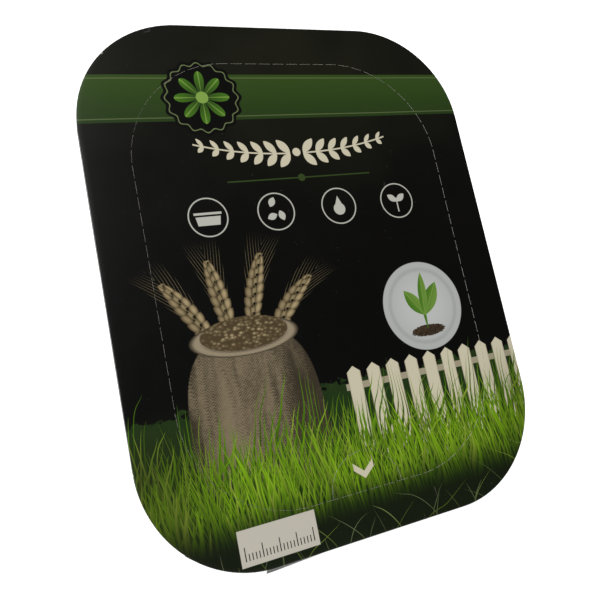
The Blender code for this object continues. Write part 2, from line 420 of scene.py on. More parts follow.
def skirt_normal(x, y):
    """The outward direction of the lid's edge nearest to a place."""
    away = Vector((x - clamp(x, -CORNER_X, CORNER_X), y - clamp(y, -CORNER_Y, CORNER_Y)))
    return away.normalized() if away.length > 0 else Vector((0.0, 0.0))


def make_lid(materials):
    around = outline(LID_CORNER_STEPS, lid_side)
    builder = bmesh.new()
    outside = lid_profile()
    inside = offset_profile(outside, CARD)
    outer = [add_ring(builder, around, *point) for point in outside]
    inner = [add_ring(builder, around, *point) for point in inside]
    join_stack(builder, outer, CARD_PRINT)
    join_stack(builder, inner, CARD_RAW)
    join_rings(builder, outer[0], inner[0], CARD_RAW)
    add_panel(builder, outer[-1], inner[-1], around)
    lid = add_piece("lid_card", builder, materials)
    cut_notches(lid, materials)
    for face in lid.data.polygons:
        if face.material_index == CARD_PRINT and face.center.y < FOOT_PRINT_TOP:
            face.material_index = CARD_FOOT_PRINT
    shape_card(lid.data)
    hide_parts("lid")
    return lid


# The tray's shape

TRAY_SKIN = 0.7 * MM
RIM_FOLD = 1.1 * MM  # outer radius of the flange's folds, more than the skin's thickness
LIP_DEPTH = 4.0 * MM
FLANGE_WIDTH = 10.5 * MM
NECK_DEPTH = 5.0 * MM
LEDGE_WIDTH = 1.4 * MM
WALL_DRAFT = math.radians(8.0)
RIB_DEPTH = 1.4 * MM
LONG_SIDE_RIBS = 7
SHORT_SIDE_RIBS = 5
STEPS_PER_RIB = 14
TRAY_CORNER_STEPS = 20
HEEL_RADIUS = 5.0 * MM
REST_RING_WIDTH = 8.0 * MM
PANEL_RISE = 1.2 * MM
PANEL_SLOPE = 1.6 * MM
PANEL_BEADS = (4.0 * MM, 10.5 * MM)  # in from the slope; further in, the corners would cross over
BEAD_DEPTH = 0.6 * MM
# A bead's section: how far aside in millimetres, and the share of its depth there
BEAD_SECTION = ((-1.6, 0.0), (-1.0, 0.25), (-0.5, 0.85), (0.0, 1.0),
                (0.5, 0.85), (1.0, 0.25), (1.6, 0.0))
# How far down the wall its rings lie, closer where the ribs start and end
WALL_RINGS = (0.02, 0.06, 0.08, 0.10, 0.12, 0.14, 0.33, 0.52, 0.71, 0.90, 0.925, 0.95, 0.975, 1.0)


def tray_side(length):
    """Places along a side of the tray, and how far each lies in a rib's groove."""
    ribs = LONG_SIDE_RIBS if length > 2 * CORNER_Y * 0.9 else SHORT_SIDE_RIBS
    steps = ribs * STEPS_PER_RIB
    places = []
    for step in range(1, steps):
        from_middle = abs((step / STEPS_PER_RIB) % 1.0 - 0.5)
        places.append((step / steps, 1 - smooth_step(0.18, 0.30, from_middle)))
    return places


def tray_profile():
    """The skin's upper face from the lip's foot to the base, and the ribs' depth at each point."""
    edge = CARD + GAP
    top = LID_TOP - CARD - GAP
    profile = [(edge, top - LIP_DEPTH), (edge, top - LIP_DEPTH / 2)]
    profile += arc((edge + RIM_FOLD, top - RIM_FOLD), RIM_FOLD, 180.0, 90.0, 5)
    neck = edge + FLANGE_WIDTH
    profile += [(edge + FLANGE_WIDTH * 0.5, top)]
    profile += arc((neck - RIM_FOLD, top - RIM_FOLD), RIM_FOLD, 90.0, 0.0, 5)
    ledge_height = top - NECK_DEPTH
    heel_height = TRAY_SKIN + HEEL_RADIUS
    profile += arc((neck + LEDGE_WIDTH, ledge_height + LEDGE_WIDTH), LEDGE_WIDTH, 180.0, 262.0, 5)
    depths = [0.0] * len(profile)
    wall_top = neck + LEDGE_WIDTH
    wall_height = ledge_height - heel_height
    wall_run = math.tan(WALL_DRAFT) * wall_height
    for down in WALL_RINGS:
        profile.append((wall_top + wall_run * down, ledge_height - wall_height * down))
        rib_start, rib_end = smooth_step(0.06, 0.14, down), smooth_step(0.90, 1.0, down)
        depths.append(RIB_DEPTH * rib_start * (1 - rib_end))
    heel_reach = wall_top + wall_run + HEEL_RADIUS * math.cos(WALL_DRAFT)
    heel = arc((heel_reach, heel_height), HEEL_RADIUS, 180.0 + math.degrees(WALL_DRAFT), 270.0, 10)
    ring_end = heel_reach + REST_RING_WIDTH
    panel = TRAY_SKIN + PANEL_RISE
    profile += heel[1:]
    profile += [(ring_end - 0.5 * MM, TRAY_SKIN), (ring_end + 0.3 * MM, TRAY_SKIN + 0.15 * MM)]
    slope_end = ring_end + PANEL_SLOPE
    profile += [(slope_end - 0.3 * MM, panel - 0.15 * MM), (slope_end + 0.4 * MM, panel)]
    for bead in PANEL_BEADS:
        for aside, depth in BEAD_SECTION:
            profile.append((slope_end + bead + aside * MM, panel - BEAD_DEPTH * depth))
    depths += [0.0] * (len(profile) - len(depths))
    return profile, depths


def make_tray(materials):
    """A flange with a turned-down lip, a ledge, ribbed walls, a rest ring and a beaded panel."""
    around = outline(TRAY_CORNER_STEPS, tray_side)
    builder = bmesh.new()
    upper, depths = tray_profile()
    lower = offset_profile(upper, TRAY_SKIN)
    stacks = []
    for profile in (upper, lower):
        rings = [add_ring(builder, around, *point, depth) for point, depth in zip(profile, depths)]
        join_stack(builder, rings)
        builder.faces.new(rings[-1])
        stacks.append(rings)
    join_rings(builder, stacks[0][0], stacks[1][0])
    tray = add_piece("tray_shell", builder, materials, 50.0)
    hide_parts("tray")
    return tray


# The contents' shapes: a bag of soil, and a sachet of seeds and a folded net on it

SOIL_BAG_SIZE = (126 * MM, 168 * MM)
SOIL_BAG_THICKNESS = 21.0 * MM
SOIL_BAG_STEPS = (56, 74)
SOIL_BAG_WAIST = 1.6 * MM  # how far a long side is pulled in
SEAL_WIDTH = 9.0 * MM
SEAL_THICKNESS = 0.6 * MM
SACHET_SIZE = (56 * MM, 82 * MM)
SACHET_PLACE = (-26 * MM, 18 * MM)
SACHET_THICKNESS = 7.5 * MM
SACHET_STEPS = (40, 52)
SACHET_WAIST = 0.8 * MM
NET_SIZE = (46 * MM, 60 * MM)
NET_PLACE = (32 * MM, -22 * MM)
NET_FOLDS = 4
NET_LAYER = 0.32 * MM
NET_LIFT = 0.2 * MM
NET_RUFFLE = (0.5 * MM, 0.5 * MM, 0.12 * MM)
NET_SEED = 5  # without a seed, noise_vector differs at every run
CREASE = 0.9 * MM


def pillow(across, along):
    """Thickness share of a filled pouch at -1..1 across and along, flat at its two end seals."""
    seal = max(0.0, 1.0 - abs(along) ** 6)
    edge = max(0.0, 1.0 - abs(across) ** 4)
    return math.sqrt(seal * edge)


def soil_bag_floor(x, y):
    return TRAY_SKIN + PANEL_RISE + GAP


def soil_bag_top(x, y):
    across = clamp(x / (SOIL_BAG_SIZE[0] / 2), -1.0)
    along = clamp(y / (SOIL_BAG_SIZE[1] / 2 - SEAL_WIDTH), -1.0)
    return soil_bag_floor(x, y) + SEAL_THICKNESS + SOIL_BAG_THICKNESS * pillow(across, along)


def on_soil_bag(x, y):
    return soil_bag_top(x, y) + GAP


def carries_something(x, y):
    """Whether the sachet or the net lies at this place on the soil bag."""
    for size, place in ((SACHET_SIZE, SACHET_PLACE), (NET_SIZE, NET_PLACE)):
        clear = 4 * MM
        if abs(x - place[0]) < size[0] / 2 + clear and abs(y - place[1]) < size[1] / 2 + clear:
            return True
    return False


def soil_bag_height(across, along, x, y):
    """The film's height over the bag's floor: filled with crumbs, and creased towards its seals."""
    seal_start = 1 - SEAL_WIDTH / (SOIL_BAG_SIZE[1] / 2)
    filled = clamp(along / seal_start, -1.0)
    height = SOIL_BAG_THICKNESS * pillow(across, filled)
    share = min(1.0, height / (5 * MM))
    pleats = noise.noise(Vector((x / (5 * MM), y / (60 * MM), 2.0)))
    lumps = noise.noise(Vector((x, y, 0.0)) / (11 * MM))
    lumps += 0.5 * noise.noise(Vector((x, y, 9.0)) / (4 * MM))
    crease = CREASE * share * (1.3 * pleats * smooth_step(0.35, 0.95, abs(filled)) + 0.45 * lumps)
    if carries_something(x, y):
        crease = min(0.0, crease)
    return SEAL_THICKNESS + height + crease


def sachet_height(across, along, x, y):
    height = SACHET_THICKNESS * pillow(across, along)
    share = min(1.0, height / (2 * MM))
    seeds = noise.noise(Vector((x, y, 3.0)) / (3.2 * MM))
    pleats = noise.noise(Vector((x / (4 * MM), y / (22 * MM), 5.0)))
    pleats *= smooth_step(0.3, 0.9, abs(along))
    return SEAL_THICKNESS + height + share * (0.16 * MM * seeds + 0.45 * MM * pleats)


def crowded(step, steps):
    """A place from -1 to 1 over a pouch. The places crowd towards both edges."""
    return math.sin(math.pi / 2 * (2 * step / steps - 1))


def add_pouch(name, size, place, steps, floor, height, waist, materials):
    """A filled pouch: flat underneath, crowned on top, its sides pulled in between its corners."""
    builder = bmesh.new()
    layers = []
    for raised in (False, True):
        rows = []
        for row in range(steps[1] + 1):
            along = crowded(row, steps[1])
            line = []
            for column in range(steps[0] + 1):
                across = crowded(column, steps[0])
                x = place[0] + across * (size[0] / 2 - waist * (1 - along * along))
                y = place[1] + along * (size[1] / 2 - waist / 3 * (1 - across * across))
                z = floor(x, y) + (height(across, along, x, y) if raised else 0.0)
                line.append(builder.verts.new((x, y, z)))
            rows.append(line)
        join_rows(builder, rows)
        layers.append(rows)
    borders = []
    for rows in layers:
        right = [row[-1] for row in rows[1:-1]]
        left = [row[0] for row in reversed(rows[1:-1])]
        borders.append(rows[0] + right + list(reversed(rows[-1])) + left)
    join_rings(builder, *borders)
    return add_piece(name, builder, materials, 60.0)


def fold_path(panel, steps, turn_steps):
    """(place, layer, angle round a fold) along a strip that is folded back and forth."""
    path = []
    for index in range(NET_FOLDS):
        way = 1 if index % 2 == 0 else -1
        for step in range(steps + 1):
            path.append((way * panel * (step / steps - 0.5), index, 0.0))
        if index + 1 < NET_FOLDS:
            for step in range(1, turn_steps):
                path.append((way * panel / 2, index, math.pi * step / turn_steps))
    return path


def folded_net_point(across, along):
    """Where a point of the twice folded net lies, from its places on both fold paths."""
    x, layer, turn = across
    bulge = NET_LAYER / 2
    height = NET_LAYER * layer + bulge * (1 - math.cos(turn))
    x += math.copysign(bulge * math.sin(turn), x)
    y, stack, turn = along
    stack_height = NET_FOLDS * NET_LAYER
    last = (NET_FOLDS - 1) * NET_LAYER
    if stack % 2:
        height = last - height
    radius = last + NET_LAYER / 2 - height
    z = stack * stack_height + height + radius * (1 - math.cos(turn))
    y += math.copysign(radius * math.sin(turn), y)
    ruffle = noise.noise_vector(Vector((x / (9 * MM), y / (9 * MM), z / (2 * MM))))
    return Vector((x, y, z)) + ruffle * Vector(NET_RUFFLE)


def make_net(materials):
    """A net folded in four across and in four again along, as a pad."""
    noise.seed_set(NET_SEED)
    widest = NET_FOLDS * NET_LAYER
    across_path = fold_path(NET_SIZE[0] - 2 * MM, 14, 4)
    along_path = fold_path(NET_SIZE[1] - 2 * widest - 1 * MM, 18, 6)
    builder = bmesh.new()
    rows = []
    for along in along_path:
        line = []
        for across in across_path:
            x, y, z = folded_net_point(across, along)
            x, y = x + NET_PLACE[0], y + NET_PLACE[1]
            line.append(builder.verts.new((x, y, on_soil_bag(x, y) + NET_LIFT + z)))
        rows.append(line)
    join_rows(builder, rows)
    net = add_piece("folded_net", builder, materials, 80.0)
    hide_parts("cover_net")
    return net


def make_contents(soil_materials, sachet_materials, net_materials):
    bag = add_pouch("soil_pouch", SOIL_BAG_SIZE, (0.0, 0.0), SOIL_BAG_STEPS, soil_bag_floor,
                    soil_bag_height, SOIL_BAG_WAIST, soil_materials)
    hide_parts("soil_bag")
    sachet = add_pouch("seed_pouch", SACHET_SIZE, SACHET_PLACE, SACHET_STEPS, on_soil_bag,
                       sachet_height, SACHET_WAIST, sachet_materials)
    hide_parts("seed_sachet")
    make_net(net_materials)


# Shader formulas: arithmetic on a Field adds Math nodes to its tree


class Field:
    """A number, colour or place that varies over a surface."""

    def __init__(self, tree, socket):
        self.tree = tree
        self.socket = socket

    def math(self, operation, *others):
        node = new_node(self.tree, "Math", dict(enumerate((self, *others))), operation=operation)
        return Field(self.tree, node.outputs[0])

    def __add__(self, other):
        return self.math("ADD", other)

    def __sub__(self, other):
        return self.math("SUBTRACT", other)

    def __rsub__(self, other):
        return (self * -1.0).math("ADD", other)

    def __mul__(self, other):
        return self.math("MULTIPLY", other)

    def __truediv__(self, other):
        return self.math("DIVIDE", other)

    __radd__ = __add__
    __rmul__ = __mul__

    def size(self):
        return self.math("ABSOLUTE")

    def power(self, other):
        return self.math("POWER", other)

    def floor(self):
        return self.math("FLOOR")

    def least(self, other):
        return self.math("MINIMUM", other)

    def most(self, other):
        return self.math("MAXIMUM", other)

    def from_middle(self):
        """How far from the middle of its cell of 1, from 0 to 0.5."""
        return (self.math("FRACT") - 0.5).size()

    def ramp(self, low, high):
        """0 at low and 1 at high, smooth between them; low may be above high."""
        node = new_node(self.tree, "MapRange", {"Value": self, "From Min": low, "From Max": high},
                        interpolation_type="SMOOTHSTEP", clamp=False)
        return Field(self.tree, node.outputs["Result"])

    def below(self, limit, soft=0.1):
        """1 below a limit and 0 above it, with a soft edge to both sides."""
        return self.ramp(limit + soft, limit - soft)


def feed(value, socket):
    """Link a field to a socket, or set the socket to a plain value."""
    if isinstance(value, Field):
        value.tree.links.new(value.socket, socket)
    elif isinstance(value, tuple) and len(socket.default_value) == 4:
        socket.default_value = (*value[:3], 1.0)
    else:
        socket.default_value = value


def feed_inputs(node, inputs):
    """Feed a node's inputs, given by their names or numbers."""
    for name, value in inputs.items():
        feed(value, node.inputs[name])


def new_node(tree, kind, inputs, **settings):
    node = tree.nodes.new("ShaderNode" + kind)
    for name, value in settings.items():
        setattr(node, name, value)
    feed_inputs(node, inputs)
    return node


def length_of(across, along):
    return (across * across + along * along).math("SQRT")


def parts_of(field, kind="XYZ"):
    """The three parts of a place, or of a colour where the kind is Color."""
    node = new_node(field.tree, "Separate" + kind, {0: field})
    return [Field(field.tree, output) for output in node.outputs]


def randoms(key):
    """Three random numbers, the same wherever the key is."""
    node = new_node(key.tree, "TexWhiteNoise", {"W": key}, noise_dimensions="1D")
    return parts_of(Field(key.tree, node.outputs["Color"]), "Color")


def wander(key):
    """A smooth random number from 0 to 1 that changes with the key."""
    node = new_node(key.tree, "TexNoise", {"W": key, "Scale": 1.0, "Detail": 1.0},
                    noise_dimensions="1D")
    return Field(key.tree, node.outputs["Fac"])


def stretched(place, *scale):
    node = new_node(place.tree, "Mapping", {"Vector": place, "Scale": scale})
    return Field(place.tree, node.outputs["Vector"])


def mottle(place, scale, detail=3.0, roughness=0.5, distortion=0.0):
    """Noise from 0 to 1 with this many cells a metre."""
    node = new_node(place.tree, "TexNoise", {"Vector": place, "Scale": scale, "Detail": detail,
                                             "Roughness": roughness, "Distortion": distortion})
    return Field(place.tree, node.outputs["Fac"])


def mix(share, first, second):
    """A colour between two, by share."""
    node = new_node(share.tree, "Mix", {0: share, 6: first, 7: second}, data_type="RGBA")
    return Field(share.tree, node.outputs[2])


def new_material(name):
    """A new material, its shader, and the places on the object that wears it."""
    made = bpy.data.materials.new(name)
    made.use_nodes = True
    tree = made.node_tree
    coordinates = new_node(tree, "TexCoord", {})
    return made, tree.nodes["Principled BSDF"], Field(tree, coordinates.outputs["Object"])


def relief(shader, height, distance, strength):
    """Bump on a shader, this many metres high."""
    bump = new_node(height.tree, "Bump",
                    {"Distance": distance, "Strength": strength, "Height": height})
    feed(Field(height.tree, bump.outputs["Normal"]), shader.inputs["Normal"])


# The print: a design of its own in the pack's colours. Places are in millimetres on the lid,
# from its centre, X to the right and Y up.

BLACK = (0.0013, 0.0012, 0.0010)
OLIVE_BLACK = (0.0112, 0.0114, 0.0058)
CREAM = (0.62, 0.57, 0.42)
CREAM_SHADE = (0.36, 0.32, 0.22)
PALE = (0.52, 0.53, 0.51)
PALE_SHADE = (0.30, 0.31, 0.30)
LABEL = (0.55, 0.52, 0.44)
SIGN = (0.50, 0.50, 0.44)
DEEP_GREEN = (0.010, 0.028, 0.006)
BELT_GREEN = (0.034, 0.072, 0.011)
BELT_DARK = (0.018, 0.040, 0.008)
RULE_GREEN = (0.034, 0.060, 0.014)
LINE_GREEN = (0.13, 0.17, 0.07)
LEAF = (0.060, 0.170, 0.012)
LEAF_VEIN = (0.22, 0.36, 0.07)
STRAW = (0.34, 0.27, 0.14)
KERNEL = (0.42, 0.33, 0.18)
KERNEL_DARK = (0.075, 0.052, 0.024)
SEED = (0.46, 0.36, 0.20)
CLOTH = (0.235, 0.185, 0.115)
CLOTH_LIGHT = (0.33, 0.27, 0.18)
CLOTH_DARK = (0.040, 0.031, 0.019)
WORN = (0.34, 0.33, 0.30)
SOIL_DARK = (0.014, 0.009, 0.005)
SOIL_LIGHT = (0.075, 0.048, 0.026)
OLIVE_SHADE = (0.016, 0.020, 0.004)
SOIL_SHADE = (0.0042, 0.0052, 0.0026)
GRASS_DARK = (0.006, 0.020, 0.002)
GRASS_MID = (0.066, 0.200, 0.005)
GRASS_BRIGHT = (0.27, 0.52, 0.010)
GRASS_STRAW = (0.36, 0.48, 0.05)
STEM_PALE = (0.24, 0.29, 0.13)


class Sheet:
    """A print being built up: each paint call lays a colour over what is there."""

    def __init__(self, x, y, colour, place=None):
        self.x = x
        self.y = y
        self.colour = colour
        self.place = place

    def paint(self, mask, colour):
        self.colour = mix(mask, self.colour, colour)

    def away(self, centre):
        """How far right of a centre and how far above it."""
        return self.x - centre[0], self.y - centre[1]

    def disc(self, centre, radius):
        return length_of(*self.away(centre)).below(radius, 0.12)

    def ring(self, centre, radius, width):
        return (length_of(*self.away(centre)) - radius).size().below(width / 2)

    def block(self, low, high):
        """The rectangle between two corners."""
        sides = []
        for part, start, end in zip((self.x, self.y), low, high):
            sides.append((part - (start + end) / 2).size().below((end - start) / 2))
        return sides[0] * sides[1]

    def turned(self, root_x, root_y, angle):
        """Distances from a root, forward at an angle and to the left of it."""
        x, y = self.away((root_x, root_y))
        cosine, sine = angle.math("COSINE"), angle.math("SINE")
        return x * cosine + y * sine, y * cosine - x * sine

    def leaf(self, root, degrees, length, half_width, colour, vein=None):
        """A pointed leaf from its root, with a paler vein if one is given."""
        self.stamp(paint_leaf, root_x=root[0], root_y=root[1], angle=math.radians(degrees),
                   length=length, half_width=half_width, colour=colour, vein=vein or colour)

    def stamp(self, painter, **settings):
        """Let a painter of a motif paint with these settings, through one node group."""
        inputs = {"x": self.x, "y": self.y, "under": self.colour, **settings}
        node = new_node(self.x.tree, "Group", inputs, node_tree=motif_group(painter, settings))
        self.colour = Field(self.x.tree, node.outputs[0])


def motif_group(painter, settings):
    """The node group of a painter's motif, made when it is first asked for."""
    title = painter.__name__
    if title in bpy.data.node_groups:
        return bpy.data.node_groups[title]
    group = bpy.data.node_groups.new(title, "ShaderNodeTree")
    kinds = {"x": 0.0, "y": 0.0, "under": BLACK, **settings}
    for name, value in kinds.items():
        kind = "NodeSocketColor" if isinstance(value, tuple) else "NodeSocketFloat"
        group.interface.new_socket(name, in_out="INPUT", socket_type=kind)
    group.interface.new_socket("colour", in_out="OUTPUT", socket_type="NodeSocketColor")
    entry = group.nodes.new("NodeGroupInput")
    fields = {name: Field(group, entry.outputs[name]) for name in kinds}
    sheet = Sheet(fields.pop("x"), fields.pop("y"), fields.pop("under"))
    painter(sheet, **fields)
    leave = group.nodes.new("NodeGroupOutput")
    feed(sheet.colour, leave.inputs[0])
    return group


def paint_leaf(sheet, root_x, root_y, angle, length, half_width, colour, vein):
    forward, aside = sheet.turned(root_x, root_y, angle)
    part = forward / length
    half = part * (1.0 - part) * half_width * 4.0
    mask = aside.size().below(half) * half.ramp(0.0, 0.1)
    lit = aside.ramp(half_width, half_width * -1.0) * 0.6
    sheet.paint(mask, mix(lit, colour, vein))
    sheet.paint(aside.size().ramp(0.22, 0.10) * mask * 0.8, vein)


HEDGE_TOP = -57.0
FENCE_LEFT = 0.0
FENCE_TOP = -44.5
FENCE_RAIL = -53.0
FENCE_PITCH = 9.5
BOARD_HALF = 3.2


def paint_field(sheet):
    """A near-black field with a leafy hedge, and a picket fence before it on the right."""
    cloud = mottle(sheet.place, 14.0, 2.0)
    sheet.paint(sheet.y.ramp(-20.0, 110.0) * cloud.ramp(0.3, 0.8), OLIVE_BLACK)
    leaves = mottle(sheet.place, 210.0, 3.0, 0.6)
    hedge = (sheet.y - leaves * 14.0).below(HEDGE_TOP, 0.5)
    sheet.paint(hedge, mix(leaves, DEEP_GREEN, BELT_DARK))
    across = (sheet.x / FENCE_PITCH).from_middle() * FENCE_PITCH
    right = sheet.x.ramp(FENCE_LEFT, FENCE_LEFT + 0.2)
    sheet.paint((sheet.y - FENCE_RAIL).size().below(1.4) * right, CREAM_SHADE)
    board = across.below(BOARD_HALF) * (sheet.y + across * 0.8).below(FENCE_TOP)
    sheet.paint(board * right, mix(across.ramp(2.6, 3.3), CREAM, CREAM_SHADE))


BELT_FOOT, BELT_TOP = 69.0, 90.0
ROUND_CENTRE = (-38.0, 79.5)
ROUND_RADIUS = 17.0
SCALLOPS = 16
PETALS = 8
PETAL_REACH = 12.0
BELT_LINE, ROUND_LINE = 1.6, 1.7  # from an edge to the line that follows it


def paint_belt(sheet):
    """A green belt across the lid, lined along both edges, with a flower in a scalloped round."""
    half = (BELT_TOP - BELT_FOOT) / 2
    away = (sheet.y - (BELT_FOOT + BELT_TOP) / 2).size()
    shade = sheet.y.ramp(BELT_FOOT - 6.0, BELT_TOP + 6.0)
    sheet.paint(away.below(half, 0.12), mix(shade, BELT_DARK, BELT_GREEN))
    sheet.paint((away - (half - BELT_LINE)).size().below(0.22, 0.06) * 0.7, LINE_GREEN)
    x, y = sheet.away(ROUND_CENTRE)
    out, turn = length_of(x, y), y.math("ARCTAN2", x)
    edge = (turn * SCALLOPS).math("COSINE") * 0.7 + ROUND_RADIUS
    sheet.paint(out.below(edge, 0.12), BLACK)
    sheet.paint((out - edge + ROUND_LINE).size().below(0.26, 0.06), LINE_GREEN)
    spread = (turn * (PETALS / 2)).math("COSINE").size()
    petals = out.below(spread.power(0.6) * PETAL_REACH, 0.12)
    sheet.paint(petals, mix(out / PETAL_REACH, BELT_DARK, LEAF))
    sheet.paint(petals * spread.ramp(0.985, 1.0) * 0.7, LEAF_VEIN)
    sheet.paint(sheet.disc(ROUND_CENTRE, 2.7), LEAF_VEIN)


SPRIG_MIDDLE = (0.0, 52.5)
SPRIG_REACH = 46.0
SPRIG_PITCH = 6.4
SPRIG_SLOPE = math.radians(48.0)


def paint_sprig(sheet):
    """A cream sprig of paired leaves, the same to both sides of the middle."""
    side = (sheet.x - SPRIG_MIDDLE[0]).size()
    along = side - 3.0
    tall = (sheet.y - SPRIG_MIDDLE[1] - along * along * 0.0032).size()
    inside = along.ramp(0.0, 0.2) * side.ramp(SPRIG_REACH, SPRIG_REACH - 0.2)
    sheet.paint(tall.below(0.35, 0.07) * inside, CREAM)
    cell = (along / SPRIG_PITCH).floor()
    shrink = 1.0 - cell * 0.085
    across = along - cell * SPRIG_PITCH
    forward = across * math.cos(SPRIG_SLOPE) + tall * math.sin(SPRIG_SLOPE)
    aside = tall * math.cos(SPRIG_SLOPE) - across * math.sin(SPRIG_SLOPE)
    part = forward / (shrink * 8.6)
    leaf = aside.size().below(part * (1.0 - part) * shrink * 7.6, 0.08) * part.ramp(0.03, 0.05)
    sheet.paint(leaf * part.ramp(0.98, 0.96) * inside, CREAM)
    sheet.paint(sheet.disc((SPRIG_MIDDLE[0], SPRIG_MIDDLE[1] + 0.4), 1.9), CREAM)


RULE_Y = 41.0


def paint_rule(sheet):
    """A thin green rule with a small dot in its middle."""
    sheet.paint(sheet.block((-34.0, RULE_Y - 0.3), (34.0, RULE_Y + 0.3)), RULE_GREEN)
    sheet.paint(sheet.disc((0.0, RULE_Y), 1.7), RULE_GREEN)


ICON_Y = 26.5
ICON_RADIUS = 8.2
TRAY_X, SEEDS_X, DROP_X, SPROUT_X = -45.0, -15.0, 15.0, 45.0
# Each seed's root from its sign's centre, and its direction in degrees
SEEDS = ((-4.4, -2.9, 20.0), (3.0, -4.2, 108.0), (-2.4, 2.2, 62.0))


def paint_icons(sheet):
    """Four round signs for the steps of growing: fill the tray, sow, water, and watch it sprout."""
    for x in (TRAY_X, SEEDS_X, DROP_X, SPROUT_X):
        sheet.paint(sheet.ring((x, ICON_Y), ICON_RADIUS, 0.55), SIGN)
    up = sheet.y - ICON_Y
    tray_side = (sheet.x - TRAY_X).size()
    bowl = tray_side.below(4.9 + (up + 2.0) * 0.18) * (up + 1.6).size().below(1.9)
    sheet.paint(bowl, SIGN)
    sheet.paint(tray_side.below(5.9) * (up - 1.6).size().below(0.5), SIGN)
    for x, y, degrees in SEEDS:
        sheet.leaf((SEEDS_X + x, ICON_Y + y), degrees, 4.8, 1.5, SIGN)
    drop_side = sheet.x - DROP_X
    sheet.paint(length_of(drop_side, up + 1.4).below(2.8), SIGN)
    point = drop_side.size().below((4.8 - up) * 0.42 - 0.05)
    sheet.paint(point * up.ramp(-0.4, -0.2) * up.ramp(4.8, 4.7), SIGN)
    sheet.paint(sheet.block((SPROUT_X - 0.3, ICON_Y - 5.4), (SPROUT_X + 0.3, ICON_Y + 1.4)), SIGN)
    for degrees in (38.0, 142.0):
        sheet.leaf((SPROUT_X, ICON_Y - 0.4), degrees, 5.6, 1.5, SIGN)


SACK_MIDDLE = (-39.0, -55.0)
SACK_HALF = (28.0, 33.0)
SACK_MOUTH = (-39.0, -24.5)
MOUTH_HALF = (23.0, 7.6)
HEAP_HALF = (18.6, 6.8)
WEAVE = 5.4  # radians of a thread a millimetre
# Each ear's root, its direction in degrees, the bare length of its stem and its bend
EARS = (
    (-52.0, -27.0, 112.0, 3.0, 0.005),
    (-44.0, -25.0, 97.0, 4.5, 0.001),
    (-36.0, -25.0, 80.0, 6.0, -0.003),
    (-27.0, -27.0, 61.0, 2.0, -0.007),
)
EAR_LENGTH = 29.0
KERNEL_PITCH = 4.1


def paint_ear(sheet, root_x, root_y, angle, stem, bend):
    """A ripe grain ear: a bent stem, plump kernels in two rows and a fan of fine awns."""
    along, aside = sheet.turned(root_x, root_y, angle)
    aside = aside - along * along * bend
    side = aside.size()
    stalk = side.ramp(0.55, 0.4) * along.ramp(0.0, 0.2) * along.ramp(stem + 4.0, stem)
    sheet.paint(stalk, STRAW)
    rise = (along - stem) / EAR_LENGTH
    wisp = ((side * 3.4 - along) / 4.1).from_middle().ramp(0.075, 0.02)
    wisp = wisp * side.ramp(rise * 4.2 + 2.4, rise * 4.2 + 1.6)
    sheet.paint(wisp * rise.ramp(0.05, 0.2) * rise.ramp(1.35, 0.95) * 0.6, STRAW)
    stagger = aside.math("GREATER_THAN", 0.0) * (KERNEL_PITCH / 2)
    place = along - stem + stagger
    cell = (place / KERNEL_PITCH).floor()
    inside = rise.ramp(0.0, 0.01) * rise.ramp(1.02, 1.0)
    swell = (1.0 - (rise - 0.42) * (rise - 0.42) * 1.9).most(0.1)
    forward = place - (cell + 0.5) * KERNEL_PITCH - (side - 2.2) * 0.55
    kernel = length_of(forward / 3.0, (side - swell * 2.3) / (swell * 1.75))
    lit = kernel.ramp(1.05, 0.15) * (aside.ramp(4.5, -4.5) * 0.45 + 0.55)
    sheet.paint(kernel.ramp(1.04, 0.94) * inside, mix(lit, KERNEL_DARK, KERNEL))
    core = length_of((along - stem - (cell + 0.2) * KERNEL_PITCH) / 2.6, side / 1.25)
    sheet.paint(core.ramp(1.0, 0.85) * inside * 0.8, mix(core.ramp(1.0, 0.1), KERNEL_DARK, STRAW))


def paint_ears(sheet):
    for root_x, root_y, degrees, stem, bend in EARS:
        sheet.stamp(paint_ear, root_x=root_x, root_y=root_y, angle=math.radians(degrees),
                    stem=stem, bend=bend)


def paint_sack(sheet):
    """A round sack of sackcloth with a rolled mouth and a heap of seed in it."""
    across, along = sheet.away(SACK_MIDDLE)
    across, along = across / SACK_HALF[0], along / SACK_HALF[1]
    wide = across * (1.0 + along * 0.10)
    shape = wide.size().power(2.7) + along.size().power(3.2)
    folds = mottle(stretched(sheet.place, 1.0, 0.22, 1.0), 160.0, 3.0, 0.55, 0.6)
    weft = ((sheet.x + folds * 6.0) * WEAVE).math("SINE")
    weft = weft * ((sheet.y + folds * 5.0) * WEAVE).math("SINE")
    slubs = mottle(sheet.place, 700.0)
    lit = (1.0 - (across + 0.28).size() * 0.85) * 0.75 + (folds - 0.5) * 1.5
    lit = lit + weft * 0.30 + (slubs - 0.5) * 0.55
    sheet.paint(shape.below(1.0, 0.03), mix(lit.ramp(0.0, 1.0), CLOTH_DARK, CLOTH))
    right, up = sheet.away(SACK_MOUTH)
    mouth = length_of(right / MOUTH_HALF[0], up / MOUTH_HALF[1])
    roll = mouth.ramp(1.0, 0.88) * (mouth.ramp(0.70, 0.85) * 0.6 + 0.4)
    sheet.paint(mouth.below(1.0, 0.02), mix(roll + weft * 0.25, CLOTH_DARK, CLOTH_LIGHT))
    heap = length_of(right / HEAP_HALF[0], (up - 1.6) / HEAP_HALF[1])
    cells = new_node(sheet.x.tree, "TexVoronoi",
                     {"Vector": stretched(sheet.place, 1.0, 1.5, 1.0), "Scale": 520.0},
                     voronoi_dimensions="2D")
    distance, tone = [Field(sheet.x.tree, cells.outputs[name]) for name in ("Distance", "Color")]
    grain = distance.ramp(0.62, 0.05) * heap.ramp(1.4, 0.2)
    tint = mix(parts_of(tone, "Color")[0], KERNEL_DARK, SEED)
    sheet.paint(heap.below(1.0, 0.02), mix(grain, KERNEL_DARK, tint))


